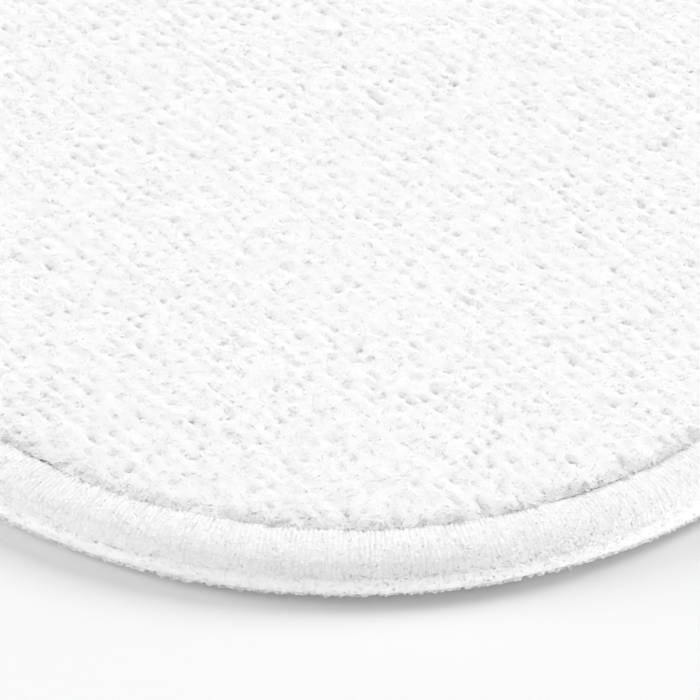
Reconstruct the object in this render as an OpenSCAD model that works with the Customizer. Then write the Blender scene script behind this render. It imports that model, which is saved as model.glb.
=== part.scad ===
// Bath mat: a tufted pile on a woven backing, stacked on a felt pad and a moulded anti-slip base,
// and overlocked all round. All sizes are in millimetres. The floor is z = 0, the origin is the
// centre of the footprint, X runs along the tuft rows and Z is up.

/* [Outline] */
// Length of the mat, along the tuft rows
mat_length = 600; // [400:10:900]
// Width of the mat
mat_width = 400; // [300:10:600]
// Radius of the corners, at the outside of the edge
corner_radius = 105; // [50:5:140]

/* [Layers] */
// Height of the moulded studs under the base sheet
stud_height = 1.0; // [0.8:0.1:2]
// Thickness of the anti-slip base sheet
base_thickness = 1.0; // [0.6:0.1:2]
// Thickness of the felt pad
felt_thickness = 2.6; // [2.2:0.1:6]
// Thickness of the latex coat that locks the tufts
latex_thickness = 0.4; // [0.3:0.1:0.8]
// Thickness of the woven primary backing
backing_thickness = 0.6; // [0.4:0.1:1]
// Height of the pile above the primary backing
pile_height = 3.8; // [3:0.2:8]
// Height of the pile where the edge threads press it flat
pressed_pile = 0.5; // [0.3:0.1:0.8]

/* [Overlocked edge] */
// Width of the thread cover on the top face
edge_width = 12.2; // [10:0.2:16]
// Width of the thread cover on the underside
under_width = 11.4; // [8:0.2:12]
// Inset of the roll's crest from the outside of the edge
crest_inset = 8.6; // [7:0.2:9.4]
// Inset of the crease between the upper roll and the lower lip
crease_inset = 1.6; // [1.2:0.1:2]
// Inset of the cut edge of the layers inside the threads
cut_inset = 3.6; // [3:0.1:4.4]
// Thickness of thread over the layers at the roll's crest
crest_cover = 2.1; // [1.6:0.1:3]
// Thickness of thread over the layers at the roll's inner edge
inner_cover = 0.8; // [0.5:0.1:1.4]
// Radius of the lower lip
lip_radius = 1.85; // [1.4:0.05:2.2]
// Gap between the lower lip and the floor
lip_lift = 0.65; // [0.4:0.05:0.8]
// Thickness of the lower looper thread at its inner edge
under_thread = 0.5; // [0.4:0.05:0.7]

/* [Needle thread] */
// Diameter of the needle thread
needle_thread_d = 0.9; // [0.5:0.1:1.2]

/* [Base studs] */
// Bare margin between the underside's thread cover and the stud field
stud_margin = 4.6; // [2:0.2:12]

/* [Care label] */
// Width of the label, along the edge
label_width = 26; // [15:1:40]
// Length of the label, from its sewn end to its fold
label_length = 40; // [25:1:70]
// Thickness of the folded label
label_thickness = 0.3; // [0.2:0.05:0.4]
// Length of the label that the underside's threads hold
label_hold = 3; // [2:0.5:5]
// Bare border round the label in the stud field
label_border = 3; // [1:0.5:8]

/* [Hidden] */

fit_gap = 0.1;     // between the threads and what they wrap
seam_gap = 0.05;   // between the two looper threads at the crease
arc_steps = 14;    // facets in each quarter of the edge's section
overrun = 1;       // how far a cut runs past the face that it opens
ring_fn = 96;      // drawing smoothness of the corners

// Levels of the layers, from the floor up
sheet_z = stud_height;
felt_z = sheet_z + base_thickness;
latex_z = felt_z + felt_thickness;
backing_z = latex_z + latex_thickness;
pile_z = backing_z + backing_thickness;
pressed_z = pile_z + pressed_pile;
top_z = pile_z + pile_height;

// Section of the edge. u is the inset from the outside of the edge, and z the height.
crease_z = lip_lift + 2 * lip_radius + seam_gap;
crest_z = pressed_z + crest_cover;
inner_z = pressed_z + inner_cover;
roll_rise = crest_z - crease_z;
outer_reach = crest_inset - crease_inset;
inner_angle = asin((inner_z - crease_z) / roll_rise);
inner_reach = (edge_width - crest_inset) / cos(inner_angle);
pile_inset = edge_width + needle_thread_d + 2 * fit_gap;
stud_inset = under_width + stud_margin;
label_bottom_z = sheet_z - fit_gap / 2 - label_thickness;

// Points in (u, z) on an elliptical arc round centre, between two angles
function arc(centre, reach, rise, from, to) =
    [for (i = [0 : arc_steps])
        let (a = from + (to - from) * i / arc_steps)
        centre + [reach * cos(a), rise * sin(a)]];

// The upper roll: out of the crease, over the crest and down to the inner edge
function roll_section() =
    let (centre = [crest_inset, crease_z])
    concat(
        arc(centre, outer_reach, roll_rise, 180, 90),
        arc(centre, inner_reach, roll_rise, 90, inner_angle),
        [[edge_width, pressed_z + fit_gap],
         [cut_inset - fit_gap, pressed_z + fit_gap],
         [cut_inset - fit_gap, crease_z]]);

// The lower lip, and the flat of the thread under the base sheet
function lip_section() =
    concat(
        arc([lip_radius, lip_lift + lip_radius], lip_radius, lip_radius, 90, 270),
        [[under_width, sheet_z - fit_gap - under_thread],
         [under_width, sheet_z - fit_gap],
         [cut_inset - fit_gap, sheet_z - fit_gap],
         [cut_inset - fit_gap, crease_z - seam_gap]]);

// A section in (u, z) turned into one whose X is the distance from the corner's axis
function from_corner_axis(points) = [for (p = points) [corner_radius - p[0], p[1]]];

// The outline of the mat, drawn in from its outside by inset
module outline(inset) {
    straight = [mat_length, mat_width] - 2 * [corner_radius, corner_radius];
    square([straight[0], mat_width - 2 * inset], center = true);
    square([mat_length - 2 * inset, straight[1]], center = true);
    for (x = [-0.5, 0.5], y = [-0.5, 0.5])
        translate([x * straight[0], y * straight[1]])
            circle(r = corner_radius - inset, $fn = ring_fn);
}

module layer(inset, bottom, top) {
    translate([0, 0, bottom])
        linear_extrude(height = top - bottom)
            outline(inset);
}

// Carries a section, given from the corner's axis, round the four corners and the four sides
module round_the_edge() {
    for (turn = [0 : 3]) {
        reach = (turn % 2 == 0 ? [mat_length, mat_width] : [mat_width, mat_length]) / 2
                - [corner_radius, corner_radius];
        rotate([0, 0, 90 * turn])
            translate([reach[0], reach[1], 0]) {
                rotate_extrude(angle = 90, $fn = ring_fn) children();
                rotate([90, 0, 0]) linear_extrude(height = 2 * reach[1]) children();
            }
    }
}

// The space that the label needs, or the label itself where room is 0
module label_block(room) {
    near = mat_width / 2 - under_width + label_hold + room;
    far = mat_width / 2 - under_width + label_hold - label_length - room;
    translate([-label_width / 2 - room, far, label_bottom_z])
        cube([label_width + 2 * room, near - far, label_thickness]);
}

module pile() {
    color("white") {
        layer(pile_inset, pile_z, top_z);
        layer(cut_inset, pile_z, pressed_z);
    }
}

module primary_backing() {
    color("ivory") layer(cut_inset, backing_z, pile_z);
}

module latex_coat() {
    color("cornsilk") layer(cut_inset, latex_z, backing_z);
}

module felt_pad() {
    color("gainsboro") layer(cut_inset, felt_z, latex_z);
}

// The sheet runs into the edge. The stud field is the plain block that the studs fill.
module anti_slip_base() {
    color("whitesmoke")
        difference() {
            union() {
                layer(cut_inset, sheet_z, felt_z);
                layer(stud_inset, 0, sheet_z);
            }
            translate([0, 0, -overrun])
                label_window(sheet_z + overrun);
        }
}

// The bare window in the stud field that the label lies in, open towards the edge
module label_window(height) {
    far = mat_width / 2 - under_width + label_hold - label_length - label_border;
    translate([-label_width / 2 - label_border, far, 0])
        cube([label_width + 2 * label_border, mat_width / 2 - far, height]);
}

module upper_looper_thread() {
    color("white")
        round_the_edge() polygon(from_corner_axis(roll_section()));
}

module lower_looper_thread() {
    color("white")
        difference() {
            round_the_edge() polygon(from_corner_axis(lip_section()));
            label_block(fit_gap);
        }
}

module needle_thread() {
    color("white")
        round_the_edge()
            translate([corner_radius - edge_width - fit_gap - needle_thread_d / 2,
                       pressed_z + fit_gap + needle_thread_d / 2])
                circle(d = needle_thread_d, $fn = 24);
}

module care_label() {
    color("snow") label_block(0);
}

pile();
primary_backing();
latex_coat();
felt_pad();
anti_slip_base();
upper_looper_thread();
lower_looper_thread();
needle_thread();
care_label();
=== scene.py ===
"""Bath mat: tufted pile, overlocked edge, woven backing, felt pad and anti-slip base.

Every piece is built in metres, in the frame of the CAD model: the floor is z = 0, X runs along
the tuft rows and Z is up.
"""

import logging
import math
from dataclasses import dataclass, field
from enum import Enum

import bpy
import numpy as np
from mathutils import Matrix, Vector


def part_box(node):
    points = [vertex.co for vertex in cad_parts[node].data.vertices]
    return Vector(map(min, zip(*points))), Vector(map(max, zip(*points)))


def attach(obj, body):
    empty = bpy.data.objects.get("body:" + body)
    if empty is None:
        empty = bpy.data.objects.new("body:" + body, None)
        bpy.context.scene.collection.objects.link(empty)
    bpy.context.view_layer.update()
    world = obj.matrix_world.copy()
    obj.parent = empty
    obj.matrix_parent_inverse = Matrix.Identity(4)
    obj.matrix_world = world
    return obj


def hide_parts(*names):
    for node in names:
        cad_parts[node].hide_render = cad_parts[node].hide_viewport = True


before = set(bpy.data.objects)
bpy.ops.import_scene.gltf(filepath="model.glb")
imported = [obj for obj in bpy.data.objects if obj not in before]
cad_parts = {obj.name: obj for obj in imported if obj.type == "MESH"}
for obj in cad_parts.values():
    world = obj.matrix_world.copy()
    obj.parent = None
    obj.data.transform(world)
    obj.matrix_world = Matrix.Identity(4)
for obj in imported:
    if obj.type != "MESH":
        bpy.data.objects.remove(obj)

logging.basicConfig(level=logging.INFO, format="%(message)s")
log = logging.getLogger("bath_mat")

MM = 0.001
BODY = "root"
BAKE_MAP = "OFBake"
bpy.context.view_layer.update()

CORNER_RADIUS = 105 * MM
UNDER_WIDTH = 11.4 * MM
STUD_INSET = 16 * MM
SHEET_THICKNESS = 1.0 * MM
FIT_GAP = 0.1 * MM
LIP_RAISE = 0.5 * MM


# ---------------------------------------------------------------- helpers


def soft_noise(shape: tuple[int, int], reach: tuple[float, float], seed: int) -> np.ndarray:
    """Makes smooth noise that repeats at the grid's borders.

    Args:
        shape: Number of nodes each way.
        reach: Blur each way, in nodes.
        seed: Seed of the draw.

    Returns:
        Noise of mean 0 and deviation 1 on the grid.
    """
    white = np.random.default_rng(seed).standard_normal(shape)
    across = np.fft.fftfreq(shape[0])[:, None] * reach[0]
    along = np.fft.rfftfreq(shape[1])[None, :] * reach[1]
    blur = np.exp(-2 * math.pi**2 * (across**2 + along**2))
    blur[0, 0] = 0
    smooth = np.fft.irfft2(np.fft.rfft2(white) * blur, s=shape)
    return smooth / smooth.std()


def mesh_piece(
    name: str,
    points: np.ndarray,
    polygons: list[np.ndarray],
    uv: np.ndarray | None = None,
    shades: np.ndarray | None = None,
    normals: np.ndarray | None = None,
) -> bpy.types.Object:
    """Makes an object from arrays of points and faces.

    Args:
        name: Name of the piece.
        points: Places of the vertices, one row each.
        polygons: Arrays of faces, one row of vertex numbers each.
        uv: Place of each vertex in the piece's own map, or None.
        shades: A number from 0 to 1 for each vertex, kept as the attribute "depth" that the finish turns
            into painted shade, or None.
        normals: Direction that each vertex faces, for the first array of faces, or None. The
            other arrays are then shaded flat.

    Returns:
        The new object, at the origin.
    """
    mesh = bpy.data.meshes.new(name)
    corners = np.concatenate([rows.ravel() for rows in polygons]).astype(np.int32)
    sizes = np.concatenate([np.full(len(rows), rows.shape[1]) for rows in polygons])
    starts = np.concatenate([[0], np.cumsum(sizes)[:-1]]).astype(np.int32)
    mesh.vertices.add(len(points))
    mesh.vertices.foreach_set("co", points.astype(np.float32).ravel())
    mesh.loops.add(len(corners))
    mesh.loops.foreach_set("vertex_index", corners)
    mesh.polygons.add(len(sizes))
    mesh.polygons.foreach_set("loop_start", starts)
    mesh.update(calc_edges=True)
    mesh.polygons.foreach_set("use_smooth", np.full(len(sizes), True))
    if uv is not None:
        layer = mesh.uv_layers.new(name=BAKE_MAP)
        layer.data.foreach_set("uv", uv[corners].astype(np.float32).ravel())
    if shades is not None:
        layer = mesh.attributes.new("depth", "FLOAT", "POINT")
        layer.data.foreach_set("value", shades.astype(np.float32))
    mesh.update()
    if normals is not None:
        faced = np.empty(len(sizes) * 3)
        mesh.polygons.foreach_get("normal", faced)
        split = np.repeat(faced.reshape(-1, 3), sizes, axis=0)
        shared = polygons[0].size
        split[:shared] = normals[corners[:shared]]
        mesh.normals_split_custom_set(split)
    piece = bpy.data.objects.new(name, mesh)
    bpy.context.collection.objects.link(piece)
    return piece


def settle(piece: bpy.types.Object, material: bpy.types.Material, slot: str,
           *nodes: str) -> bpy.types.Object:
    """Dresses a piece, ties it to the mat's body and hides the CAD nodes that it stands for.

    Args:
        piece: The finished piece.
        material: Its material.
        slot: The record's material slot; not used.
        nodes: CAD nodes that it stands for.

    Returns:
        The same piece.
    """
    piece.data.materials.clear()
    piece.data.materials.append(material)
    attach(piece, BODY)
    if nodes:
        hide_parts(*nodes)
    log.info("%s: %d faces", piece.name, len(piece.data.polygons))
    return piece


def unit(rows: np.ndarray) -> np.ndarray:
    """Scales each row to length 1."""
    return rows / np.maximum(np.linalg.norm(rows, axis=-1, keepdims=True), 1e-12)


def vertex_normals(points: np.ndarray, quads: np.ndarray) -> np.ndarray:
    """Works out which way each point of a patch faces.

    Args:
        points: Places of the points, one row each.
        quads: The patch's faces.

    Returns:
        The points' directions, of length 1.
    """
    corner = points[quads]
    facing = np.cross(corner[:, 2] - corner[:, 0], corner[:, 3] - corner[:, 1])
    heap = [np.bincount(quads.ravel(), np.repeat(facing[:, k], 4), len(points)) for k in range(3)]
    return unit(np.stack(heap, 1))


def blades(roots: np.ndarray, tips: np.ndarray, width: float) -> tuple[np.ndarray, list[np.ndarray]]:
    """Makes short, straight fibres, each one narrow triangle that ends in its tip.

    Args:
        roots: Place of each fibre's foot.
        tips: Place of each fibre's tip.
        width: Width at the foot.

    Returns:
        The fibres' points and their faces.
    """
    flat = unit(np.cross(tips - roots, np.array([0.0, 0.0, 1.0])) + 1e-9) * width / 2
    points = np.stack([roots - flat, roots + flat, tips], 1).reshape(-1, 3)
    return points, [np.arange(len(points)).reshape(-1, 3)]


def leaves(roots: np.ndarray, aim: np.ndarray, sag: np.ndarray, length: np.ndarray,
           width: float) -> tuple[np.ndarray, list[np.ndarray]]:
    """Makes curved fibres, each one narrow leaf that is widest and bent in its middle.

    Args:
        roots: Place of each fibre's foot.
        aim: Direction from foot to tip.
        sag: How far the middle is off the straight line, as a share of the length each way.
        length: Length of each fibre.
        width: Width at the middle.

    Returns:
        The fibres' points and their faces.
    """
    run = unit(aim) * length[:, None]
    middle = roots + run / 2 + sag * length[:, None]
    flat = unit(np.cross(run, sag + np.array([0.0, 0.0, 1e-3]))) * width / 2
    points = np.stack([roots, middle + flat, roots + run, middle - flat], 1).reshape(-1, 3)
    return points, [np.arange(len(points)).reshape(-1, 4)]


# ---------------------------------------------------------------- materials


class Bumps(Enum):
    """How a finish's fine relief lies on its piece."""

    ALL_WAYS = "all ways"
    WOVEN = "woven"


@dataclass(frozen=True)
class Finish:
    """A matt textile or rubber finish with a mottled colour, a fine relief and, on deep pieces, painted
    shade in the hollows.

    Attributes:
        name: Name of the material.
        light: Lighter end of the mottled colour, and the colour of the raised parts on deep pieces.
        dark: Darker end of the mottled colour, and the painted shade that fills the hollows on deep
            pieces.
        mottle: Patches of colour per metre.
        grain: Waves of the fine relief per metre.
        relief: Height of the fine relief.
        bumps: How the relief lies.
        roughness: Roughness of the surface.
        sheen: Strength of the soft glow of loose fibres.
        deep: Whether the piece has the attribute "depth", which takes its hollows to the dark colour as
            painted shade.
    """

    name: str
    light: tuple[float, float, float]
    dark: tuple[float, float, float]
    mottle: float = 400.0
    grain: float = 4000.0
    relief: float = 0.1 * MM
    bumps: Bumps = Bumps.ALL_WAYS
    roughness: float = 0.9
    sheen: float = 0.2
    deep: bool = False

    def build(self) -> bpy.types.Material:
        """Builds the material's nodes.

        Returns:
            The new material.
        """
        material = bpy.data.materials.new(self.name)
        material.use_nodes = True
        tree = material.node_tree
        shader = tree.nodes["Principled BSDF"]
        shader.inputs["Roughness"].default_value = self.roughness
        shader.inputs["Specular IOR Level"].default_value = 0.25
        shader.inputs["Sheen Weight"].default_value = self.sheen
        shader.inputs["Sheen Roughness"].default_value = 0.5
        place = tree.nodes.new("ShaderNodeTexCoord").outputs["Object"]
        tree.links.new(self.colour(tree, place), shader.inputs["Base Color"])
        bump = tree.nodes.new("ShaderNodeBump")
        bump.inputs["Distance"].default_value = self.relief
        bump.inputs["Strength"].default_value = 1.0
        tree.links.new(self.height(tree, place), bump.inputs["Height"])
        tree.links.new(bump.outputs["Normal"], shader.inputs["Normal"])
        return material

    def colour(self, tree: bpy.types.NodeTree, place: bpy.types.NodeSocket) -> bpy.types.NodeSocket:
        """Adds the nodes that mottle the colour and, on deep pieces, paint shade into the hollows.

        Args:
            tree: The material's nodes.
            place: Coordinates that the pattern is read at.

        Returns:
            The socket that gives the colour.
        """
        noise = tree.nodes.new("ShaderNodeTexNoise")
        noise.inputs["Scale"].default_value = self.mottle
        noise.inputs["Detail"].default_value = 3.0
        tree.links.new(place, noise.inputs["Vector"])
        ramp = tree.nodes.new("ShaderNodeValToRGB")
        ramp.color_ramp.elements[0].position = 0.0
        ramp.color_ramp.elements[0].color = (*self.dark, 1.0)
        ramp.color_ramp.elements[1].position = 1.0
        ramp.color_ramp.elements[1].color = (*self.light, 1.0)
        level = tree.nodes.new("ShaderNodeMapRange")
        level.inputs["From Min"].default_value = 0.25
        level.inputs["From Max"].default_value = 0.6
        tree.links.new(noise.outputs["Fac"], level.inputs["Value"])
        value = level.outputs["Result"]
        # Painted shade: the attribute "depth" takes the hollows between tufts and stitches towards the
        # dark colour.
        if self.deep:
            depth = tree.nodes.new("ShaderNodeAttribute")
            depth.attribute_name = "depth"
            rise = tree.nodes.new("ShaderNodeMath")
            rise.operation = "MULTIPLY_ADD"
            rise.inputs[1].default_value = 0.15
            tree.links.new(value, rise.inputs[0])
            shift = tree.nodes.new("ShaderNodeMath")
            shift.operation = "MULTIPLY_ADD"
            shift.inputs[1].default_value = -1.0
            shift.inputs[2].default_value = 0.85
            tree.links.new(depth.outputs["Fac"], shift.inputs[0])
            tree.links.new(shift.outputs["Value"], rise.inputs[2])
            value = rise.outputs["Value"]
        tree.links.new(value, ramp.inputs["Fac"])
        return ramp.outputs["Color"]

    def height(self, tree: bpy.types.NodeTree, place: bpy.types.NodeSocket) -> bpy.types.NodeSocket:
        """Adds the nodes of the fine relief.

        Args:
            tree: The material's nodes.
            place: Coordinates that the pattern is read at.

        Returns:
            The socket that gives the height.
        """
        if self.bumps is Bumps.WOVEN:
            return self.weave(tree, place)
        noise = tree.nodes.new("ShaderNodeTexNoise")
        noise.inputs["Scale"].default_value = 1.0
        noise.inputs["Detail"].default_value = 4.0
        noise.inputs["Roughness"].default_value = 0.65
        mapping = tree.nodes.new("ShaderNodeMapping")
        mapping.inputs["Scale"].default_value = (self.grain, self.grain, self.grain)
        tree.links.new(place, mapping.inputs["Vector"])
        tree.links.new(mapping.outputs["Vector"], noise.inputs["Vector"])
        return noise.outputs["Fac"]

    def weave(self, tree: bpy.types.NodeTree, place: bpy.types.NodeSocket) -> bpy.types.NodeSocket:
        """Adds a plain weave: threads that pass over and under one another.

        Args:
            tree: The material's nodes.
            place: Coordinates that the weave is read at.

        Returns:
            The socket that gives the height.
        """
        waves = []
        for direction in ("X", "Y"):
            wave = tree.nodes.new("ShaderNodeTexWave")
            wave.bands_direction = direction
            wave.inputs["Scale"].default_value = self.grain / (2 * math.pi)
            wave.inputs["Distortion"].default_value = 0.3
            tree.links.new(place, wave.inputs["Vector"])
            waves.append(wave.outputs["Fac"])
        over = tree.nodes.new("ShaderNodeMath")
        over.operation = "MAXIMUM"
        tree.links.new(waves[0], over.inputs[0])
        tree.links.new(waves[1], over.inputs[1])
        return over.outputs["Value"]


# On the deep finishes the dark colour is also painted shade, laid into the pile's pits and the edge's
# grooves.
PILE_YARN = Finish("pile_yarn", (0.87, 0.87, 0.87), (0.80, 0.80, 0.80), mottle=500, grain=3200,
                   relief=0.12 * MM, sheen=0.3, deep=True)
PILE_FIBRE = Finish("pile_fibre", (0.88, 0.88, 0.88), (0.84, 0.84, 0.84), mottle=2500, grain=5000,
                    relief=0.05 * MM, sheen=0.3)
# The roll and the lip are one white yarn. The roll's yarn is painted darker, painted shade that greys its
# side and keeps its crest from blowing out; the lip's yarn and fibres are painted lighter, a painted
# highlight on the lip. The roll's fibres are painted lighter than its yarn, a painted highlight on the
# loose fibres.
ROLL_YARN = Finish("roll_yarn", (0.90, 0.90, 0.90), (0.79, 0.79, 0.79), mottle=2500, grain=3200,
                   relief=0.1 * MM, sheen=0.3, deep=True)
ROLL_FIBRE = Finish("roll_fibre", (0.97, 0.97, 0.97), (0.90, 0.90, 0.90), mottle=2500, grain=5000,
                    relief=0.03 * MM, sheen=0.3)
LIP_YARN = Finish("lip_yarn", (0.97, 0.97, 0.97), (0.93, 0.93, 0.93), mottle=2500, grain=3200,
                  relief=0.08 * MM, sheen=0.3, deep=True)
LIP_FIBRE = Finish("lip_fibre", (0.97, 0.97, 0.97), (0.93, 0.93, 0.93), mottle=2500, grain=5000,
                   relief=0.03 * MM, sheen=0.3)
NEEDLE_YARN = Finish("needle_yarn", (0.94, 0.94, 0.94), (0.84, 0.84, 0.84), mottle=900, grain=5000,
                     relief=0.08 * MM, sheen=0.1)
BACKING_WEAVE = Finish("backing_weave", (0.80, 0.79, 0.76), (0.60, 0.59, 0.55), mottle=300, grain=3600,
                       relief=0.2 * MM, bumps=Bumps.WOVEN, sheen=0.1)
LATEX = Finish("latex", (0.80, 0.78, 0.72), (0.66, 0.64, 0.57), mottle=250, grain=1800,
               relief=0.06 * MM, roughness=0.55, sheen=0.0)
FELT = Finish("felt", (0.78, 0.78, 0.77), (0.62, 0.62, 0.61), mottle=700, grain=2600,
              relief=0.25 * MM, sheen=0.2)
BASE_RUBBER = Finish("base_rubber", (0.80, 0.80, 0.79), (0.72, 0.72, 0.71), mottle=350, grain=9000,
                     relief=0.02 * MM, roughness=0.6, sheen=0.0)
LABEL_SATIN = Finish("label_satin", (0.86, 0.86, 0.85), (0.78, 0.78, 0.77), mottle=900, grain=9000,
                     relief=0.03 * MM, bumps=Bumps.WOVEN, roughness=0.4, sheen=0.1)


# ---------------------------------------------------------------- plan of the mat


@dataclass(frozen=True)
class Walk:
    """Stations on the way round the mat.

    Attributes:
        foot: Point on the corners' axes, or on the lines between them, that a station is seen from.
        out: Direction outwards at the station.
        way: Distance along the way, at the inset that the walk was made for.
        total: Length of the whole way.
        corner: Radius of the corners, at the mat's outside.
    """

    foot: np.ndarray
    out: np.ndarray
    way: np.ndarray
    total: float
    corner: float

    def at(self, inset: np.ndarray | float) -> np.ndarray:
        """Gives the stations' points in plan, drawn in from the outside by inset."""
        return self.foot + self.out * (self.corner - np.asarray(inset))[..., None]


@dataclass(frozen=True)
class Outline:
    """The mat's plan: a rectangle with round corners, centred on the origin.

    Attributes:
        length: Size along X.
        width: Size along Y.
        corner: Radius of the corners.
    """

    length: float
    width: float
    corner: float

    def outside(self, places: np.ndarray, inset: float = 0.0) -> tuple[np.ndarray, np.ndarray]:
        """Measures places in plan against the outline.

        Args:
            places: Points in plan, one row each.
            inset: How far the outline is drawn in.

        Returns:
            The distance outside the drawn-in outline, negative within it, and the direction outwards.
        """
        half = np.array([self.length, self.width]) / 2 - self.corner
        beyond = np.abs(places) - half
        clear = np.maximum(beyond, 0.0)
        reach = np.linalg.norm(clear, axis=-1)
        within = np.minimum(beyond.max(axis=-1), 0.0)
        side = (beyond == beyond.max(axis=-1, keepdims=True)).astype(float)
        heading = np.where(reach[..., None] > 0, clear, side) * np.where(places < 0, -1.0, 1.0)
        return reach + within - (self.corner - inset), unit(heading)

    def walk(self, pitch: float, inset: float, stations: int) -> Walk:
        """Sets out stations evenly round the mat.

        Args:
            pitch: Wanted distance between repeats, fitted to a whole number of them.
            inset: Inset at which the distances hold.
            stations: Stations in each repeat.

        Returns:
            The way round, anticlockwise from the middle of no side in particular.
        """
        half = np.array([self.length, self.width]) / 2 - self.corner
        bow = math.pi / 2 * (self.corner - inset)
        sides = [2 * half[1], bow, 2 * half[0], bow] * 2
        ends = np.cumsum(sides)
        total = float(ends[-1])
        count = round(total / pitch) * stations
        way = np.arange(count) * total / count
        leg = np.searchsorted(ends, way, side="right").clip(0, 7)
        done = way - (ends - sides)[leg]
        turn = leg // 2
        reach = np.where((turn % 2 == 0)[:, None], half, half[::-1])
        round_part = leg % 2 == 1
        angle = np.where(round_part, done / (self.corner - inset), 0.0)
        along = np.where(round_part, reach[:, 1], -reach[:, 1] + done)
        local = np.stack([reach[:, 0], along], axis=1)
        out = np.stack([np.cos(angle), np.sin(angle)], axis=1)
        cosine, sine = np.array([1, 0, -1, 0])[turn], np.array([0, 1, 0, -1])[turn]
        spin = np.stack([np.stack([cosine, -sine], 1), np.stack([sine, cosine], 1)], 1)
        foot = np.einsum("nij,nj->ni", spin, local)
        return Walk(foot, np.einsum("nij,nj->ni", spin, out), way, total, self.corner)


# ---------------------------------------------------------------- pile


@dataclass
class Pile:
    """The tufted pile: rows of short, dense tufts with small pits between them.

    Attributes:
        outline: Plan of the whole mat.
        inset: Inset of the pile's rim.
        root_z: Level of the primary backing.
        rim_z: Level at which the rim's tufts leave the edge threads.
        tip_z: Level of the tallest tips.
        row_pitch: Distance between rows.
        tuft_pitch: Distance between tufts in a row.
        step: Distance between the surface's nodes.
        panels: Number of panels that the surface is made in.
        fibres_per_tuft: Number of loose fibres on a tuft.
        rim_fibres: Number of further fibres along the rim.
        fibre_width: Width of a fibre at its foot.
        sway: How far the rows wander sideways.
        scatter: How far a tuft strays from its place.
        tuft_fall: Fall from a tuft's middle to its side.
        holes: Number of small hollows beside each tuft.
        rim_fall: Width of the rounding at the rim.
        rim_dip: How far the edge threads pull the pile down beside the rim.
        rim_lean: How far the rim's tufts lean out over the needle thread.
        rim_gap: Furthest that a tuft may lean out.
        rim_reach: How far into the pile that pull reaches.
    """

    outline: Outline
    inset: float
    root_z: float
    rim_z: float
    tip_z: float
    row_pitch: float = 3.15 * MM
    tuft_pitch: float = 2.8 * MM
    step: float = 0.84 * MM
    panels: int = 4
    fibres_per_tuft: int = 25
    rim_fibres: int = 30000
    fibre_width: float = 0.2 * MM
    sway: float = 0.55 * MM
    scatter: float = 0.42 * MM
    tuft_fall: float = 0.22 * MM
    holes: int = 4
    rim_fall: float = 1.7 * MM
    rim_dip: float = 1.0 * MM
    rim_lean: float = 2.05 * MM
    rim_gap: float = 2.1 * MM
    rim_reach: float = 6.0 * MM
    places: np.ndarray = field(init=False)
    relief: np.ndarray = field(init=False)
    outside: np.ndarray = field(init=False)
    heading: np.ndarray = field(init=False)
    rim_tufts: np.ndarray = field(init=False)

    def __post_init__(self) -> None:
        """Lays out the grid of nodes and the relief on it."""
        reach = np.array([self.outline.length, self.outline.width]) / 2 - self.inset
        count = np.ceil(reach / self.step).astype(int) + 1
        x = np.arange(-count[0], count[0] + 1) * self.step
        y = np.arange(-count[1], count[1] + 1) * self.step
        self.places = np.stack(np.meshgrid(x, y, indexing="ij"), axis=-1)
        self.outside, self.heading = self.outline.outside(self.places, self.inset)
        self.relief = self.tuft_relief()
        self.rim_tufts = soft_noise(self.outside.shape, (1.3, 1.3), 34)

    def tuft_relief(self) -> np.ndarray:
        """Works out how far the surface lies under the tallest tips.

        Returns:
            The depth at each node, in metres.
        """
        shape = self.outside.shape
        node = 1 / self.step
        warp = [soft_noise(shape, (5 * MM * node, 5 * MM * node), seed) * self.sway for seed in (11, 12)]
        x = self.places[..., 0] + warp[0]
        y = self.places[..., 1] + warp[1]
        rows = int(self.outline.width / self.row_pitch) + 8
        cols = int(self.outline.length / self.tuft_pitch) + 8
        draw = np.random.default_rng(21)
        jog = draw.normal(0, self.scatter, (2, rows, cols))
        high = draw.normal(0, 0.08 * MM, (rows, cols))
        size = draw.uniform(0.85, 1.25, (rows, cols))
        sharp = 3.6 / MM
        crown = np.zeros(shape)
        pits = np.zeros(shape)
        beds = (self.holes, rows, cols)
        hollow = draw.gamma(1.4, 0.15 * MM, beds).clip(0, 0.7 * MM)
        gape = draw.uniform(0.40, 0.56, beds) * MM
        long = draw.uniform(0.9, 1.7, beds)
        slant = draw.normal(0.0, 0.35, beds)
        shift = draw.uniform(-0.5, 0.5, (2, *beds))
        row = np.round(y / self.row_pitch).astype(int)
        for dr in (-1, 0, 1):
            r = row + dr
            stagger = 0.5 * (r % 2)
            col = np.round(x / self.tuft_pitch - stagger).astype(int)
            for dc in (-1, 0, 1):
                c = col + dc
                at = (r + rows // 2, c + cols // 2)
                dx = x - (c + stagger) * self.tuft_pitch
                dy = y - r * self.row_pitch
                spread = ((dx - jog[0][at]) / (1.5 * MM)) ** 2 + ((dy - jog[1][at]) / (1.6 * MM)) ** 2
                crown += np.exp(sharp * (high[at] - self.tuft_fall * spread / size[at]))
                for hole in range(self.holes):
                    px = dx - shift[0, hole][at] * self.tuft_pitch
                    py = dy - (0.5 + 0.45 * shift[1, hole][at]) * self.row_pitch
                    turn = slant[hole][at]
                    wide = gape[hole][at]
                    along = (px + py * turn) / (wide * long[hole][at])
                    gap = along**2 + ((py - px * turn) / wide) ** 2
                    pits += hollow[hole][at] * np.exp(-gap)
        top = np.log(crown) / sharp
        tufts = top - np.percentile(top, 99)
        fleece = soft_noise(shape, (0.7, 0.6), 31) * 0.05 * MM
        fleece += soft_noise(shape, (1.6, 1.0), 32) * 0.05 * MM
        swell = soft_noise(shape, (16 * MM * node, 16 * MM * node), 33) * 0.08 * MM
        return tufts - pits + fleece + swell

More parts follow.
